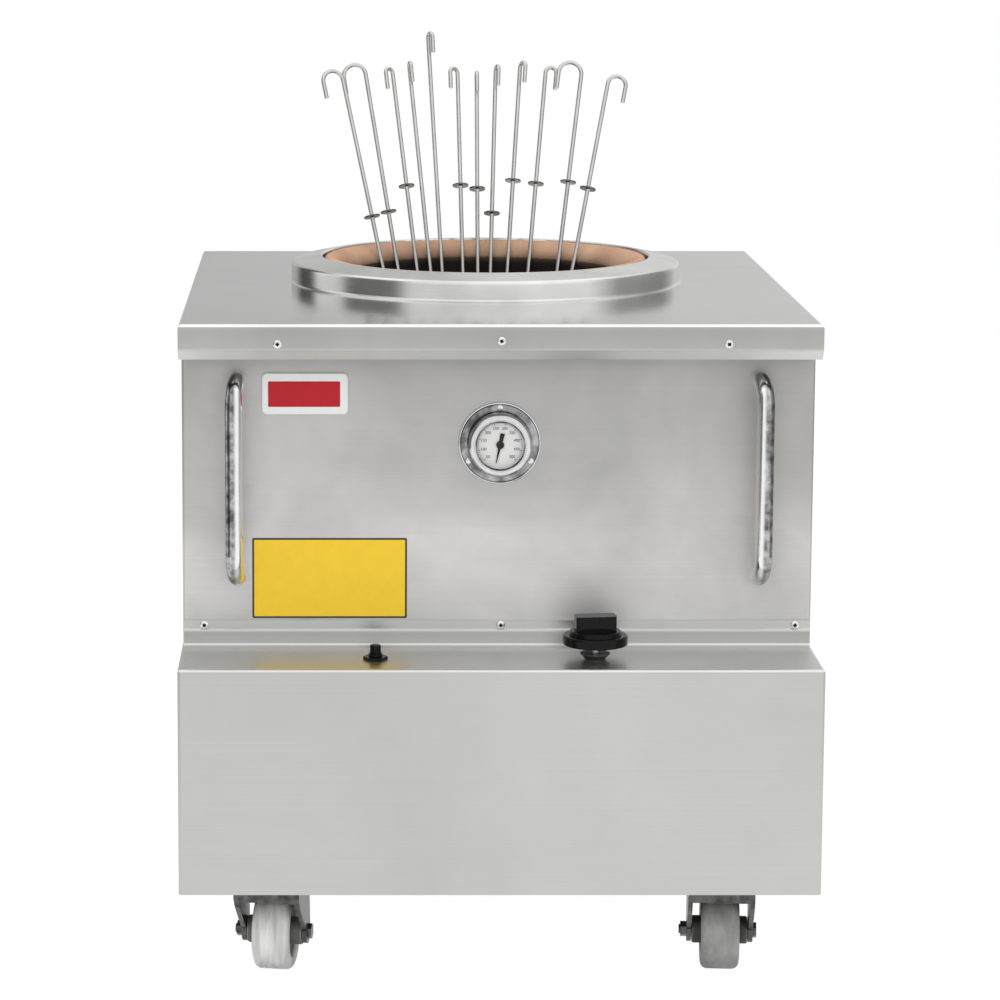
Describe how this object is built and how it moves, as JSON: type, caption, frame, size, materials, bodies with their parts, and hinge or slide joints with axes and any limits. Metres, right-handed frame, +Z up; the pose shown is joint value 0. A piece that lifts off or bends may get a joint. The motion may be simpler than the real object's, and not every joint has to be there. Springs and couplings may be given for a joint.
{
  "type": "clay tandoor oven",
  "caption": "Gas clay tandoor oven: round clay pot in a square stainless cabinet on casters, with knob, igniter, thermometer, side handles and long hooked skewers standing in the mouth.",
  "frame": {"origin": "centre of the whole outline at floor level, under the cabinet", "axes": "+Z up, -Y towards the front with the control box, +X to the right seen from the front"},
  "size_m": [0.813, 0.953, 1.1902],
  "materials": {
    "satin_steel": "satin stainless sheet",
    "bright_steel": "polished stainless",
    "frame_steel": "mill finish mild steel",
    "zinc": "zinc plated",
    "clay": "fired clay, matte and grainy",
    "wool": "mineral wool",
    "cast_iron": "as cast",
    "brass": "machined",
    "black_plastic": "glossy black moulding",
    "lead": "silicone sleeved lead",
    "dial_white": "white printed dial",
    "needle_black": "black painted pointer",
    "clear_glass": "clear",
    "chrome": "bright chrome",
    "tread": "grey rubber",
    "skewer_steel": "drawn stainless wire"
  },
  "bodies": {
    "root": {"top_plate": "satin_steel", "mouth_collar": "bright_steel", "left_side_panel": "satin_steel", "right_side_panel": "satin_steel", "back_panel": "satin_steel", "front_panel": "satin_steel", "control_box": "satin_steel", "base_frame": "frame_steel", "top_frame": "frame_steel", "base_pan": "zinc", "fire_wall": "zinc", "clay_pot": "clay", "insulation": "wool", "pot_shelf": "frame_steel", "flame_deflector": "cast_iron", "burner": "cast_iron", "burner_tube": "frame_steel", "pilot_burner": "brass", "gas_valve": "brass", "gas_pipe": "frame_steel", "gas_inlet": "zinc", "igniter_body": "black_plastic", "igniter_lead": "lead", "knob_bezel": "zinc", "thermometer_case": "chrome", "thermometer_dial": "dial_white", "thermometer_glass": "clear_glass", "thermometer_stem": "zinc", "thermometer_screws": "zinc", "handle_left": "chrome", "handle_right": "chrome", "handle_nuts": "zinc", "panel_screws": "zinc", "caster_plates": "zinc", "caster_bolts": "zinc"},
    "caster_front_left": {"fork_front_left": "zinc"},
    "roller_front_left": {"wheel_front_left": "tread"},
    "caster_front_right": {"fork_front_right": "zinc"},
    "roller_front_right": {"wheel_front_right": "tread"},
    "caster_rear_left": {"fork_rear_left": "zinc"},
    "roller_rear_left": {"wheel_rear_left": "tread"},
    "caster_rear_right": {"fork_rear_right": "zinc"},
    "roller_rear_right": {"wheel_rear_right": "tread"},
    "stem": {"valve_stem": "zinc"},
    "knob": {"gas_knob": "black_plastic"},
    "button": {"igniter_button": "black_plastic"},
    "needle": {"thermometer_needle": "needle_black"},
    "skewer_body_01": {"skewer_01": "skewer_steel"},
    "skewer_body_02": {"skewer_02": "skewer_steel"},
    "skewer_body_03": {"skewer_03": "skewer_steel"},
    "skewer_body_04": {"skewer_04": "skewer_steel"},
    "skewer_body_05": {"skewer_05": "skewer_steel"},
    "skewer_body_06": {"skewer_06": "skewer_steel"},
    "skewer_body_07": {"skewer_07": "skewer_steel"},
    "skewer_body_08": {"skewer_08": "skewer_steel"},
    "skewer_body_09": {"skewer_09": "skewer_steel"},
    "skewer_body_10": {"skewer_10": "skewer_steel"},
    "skewer_body_11": {"skewer_11": "skewer_steel"},
    "skewer_body_12": {"skewer_12": "skewer_steel"}
  },
  "joints": [
    {"name": "front_left_swivel", "type": "hinge", "parent": "root", "child": "caster_front_left", "pos_m": [-0.292, -0.363, 0.13], "axis": [0, 0, 1], "continuous": true},
    {"name": "front_left_roll", "type": "hinge", "parent": "caster_front_left", "child": "roller_front_left", "pos_m": [-0.28574, -0.32349, 0.051], "axis": [-0.9877, 0.1564, 0], "continuous": true},
    {"name": "front_right_swivel", "type": "hinge", "parent": "root", "child": "caster_front_right", "pos_m": [0.292, -0.363, 0.13], "axis": [0, 0, 1], "continuous": true},
    {"name": "front_right_roll", "type": "hinge", "parent": "caster_front_right", "child": "roller_front_right", "pos_m": [0.29479, -0.3231, 0.051], "axis": [-0.9976, 0.0698, 0], "continuous": true},
    {"name": "rear_left_swivel", "type": "hinge", "parent": "root", "child": "caster_rear_left", "pos_m": [-0.292, 0.39, 0.13], "axis": [0, 0, 1], "continuous": true},
    {"name": "rear_left_roll", "type": "hinge", "parent": "caster_rear_left", "child": "roller_rear_left", "pos_m": [-0.27573, 0.35346, 0.051], "axis": [0.9135, 0.4067, 0], "continuous": true},
    {"name": "rear_right_swivel", "type": "hinge", "parent": "root", "child": "caster_rear_right", "pos_m": [0.292, 0.39, 0.13], "axis": [0, 0, 1], "continuous": true},
    {"name": "rear_right_roll", "type": "hinge", "parent": "caster_rear_right", "child": "roller_rear_right", "pos_m": [0.28031, 0.35175, 0.051], "axis": [0.9563, -0.2924, 0], "continuous": true},
    {"name": "knob_push", "type": "slide", "parent": "root", "child": "stem", "axis": [0, 0, -1], "range_m": [0, 0.005], "stiffness_N_per_m": 1500, "springref_m": -0.004},
    {"name": "knob_turn", "type": "hinge", "parent": "stem", "child": "knob", "pos_m": [0.1216, -0.4115, 0.46], "axis": [0, 0, 1], "range_deg": [0, 180]},
    {"name": "igniter_push", "type": "slide", "parent": "root", "child": "button", "axis": [0, 0, -1], "range_m": [0, 0.007], "stiffness_N_per_m": 1200, "springref_m": -0.004},
    {"name": "needle_turn", "type": "hinge", "parent": "root", "child": "needle", "pos_m": [0.002, -0.352, 0.6985], "axis": [0, 1, 0], "range_deg": [0, 270]},
    {"name": "skewer_01_lift", "type": "slide", "parent": "root", "child": "skewer_body_01", "axis": [-0.2023, 0.2931, 0.9344], "range_m": [0, 0.62]},
    {"name": "skewer_02_lift", "type": "slide", "parent": "root", "child": "skewer_body_02", "axis": [-0.1583, 0.2897, 0.9439], "range_m": [0, 0.62]},
    {"name": "skewer_03_lift", "type": "slide", "parent": "root", "child": "skewer_body_03", "axis": [-0.1151, 0.3443, 0.9318], "range_m": [0, 0.62]},
    {"name": "skewer_04_lift", "type": "slide", "parent": "root", "child": "skewer_body_04", "axis": [-0.0958, 0.3283, 0.9397], "range_m": [0, 0.62]},
    {"name": "skewer_05_lift", "type": "slide", "parent": "root", "child": "skewer_body_05", "axis": [-0.0533, 0.3189, 0.9463], "range_m": [0, 0.62]},
    {"name": "skewer_06_lift", "type": "slide", "parent": "root", "child": "skewer_body_06", "axis": [-0.0178, 0.3676, 0.9298], "range_m": [0, 0.62]},
    {"name": "skewer_07_lift", "type": "slide", "parent": "root", "child": "skewer_body_07", "axis": [0.0045, 0.3876, 0.9218], "range_m": [0, 0.62]},
    {"name": "skewer_08_lift", "type": "slide", "parent": "root", "child": "skewer_body_08", "axis": [0.0347, 0.3592, 0.9326], "range_m": [0, 0.62]},
    {"name": "skewer_09_lift", "type": "slide", "parent": "root", "child": "skewer_body_09", "axis": [0.0702, 0.3347, 0.9397], "range_m": [0, 0.62]},
    {"name": "skewer_10_lift", "type": "slide", "parent": "root", "child": "skewer_body_10", "axis": [0.0955, 0.3415, 0.935], "range_m": [0, 0.62]},
    {"name": "skewer_11_lift", "type": "slide", "parent": "root", "child": "skewer_body_11", "axis": [0.1295, 0.3116, 0.9413], "range_m": [0, 0.62]},
    {"name": "skewer_12_lift", "type": "slide", "parent": "root", "child": "skewer_body_12", "axis": [0.1937, 0.3251, 0.9256], "range_m": [0, 0.62]}
  ]
}
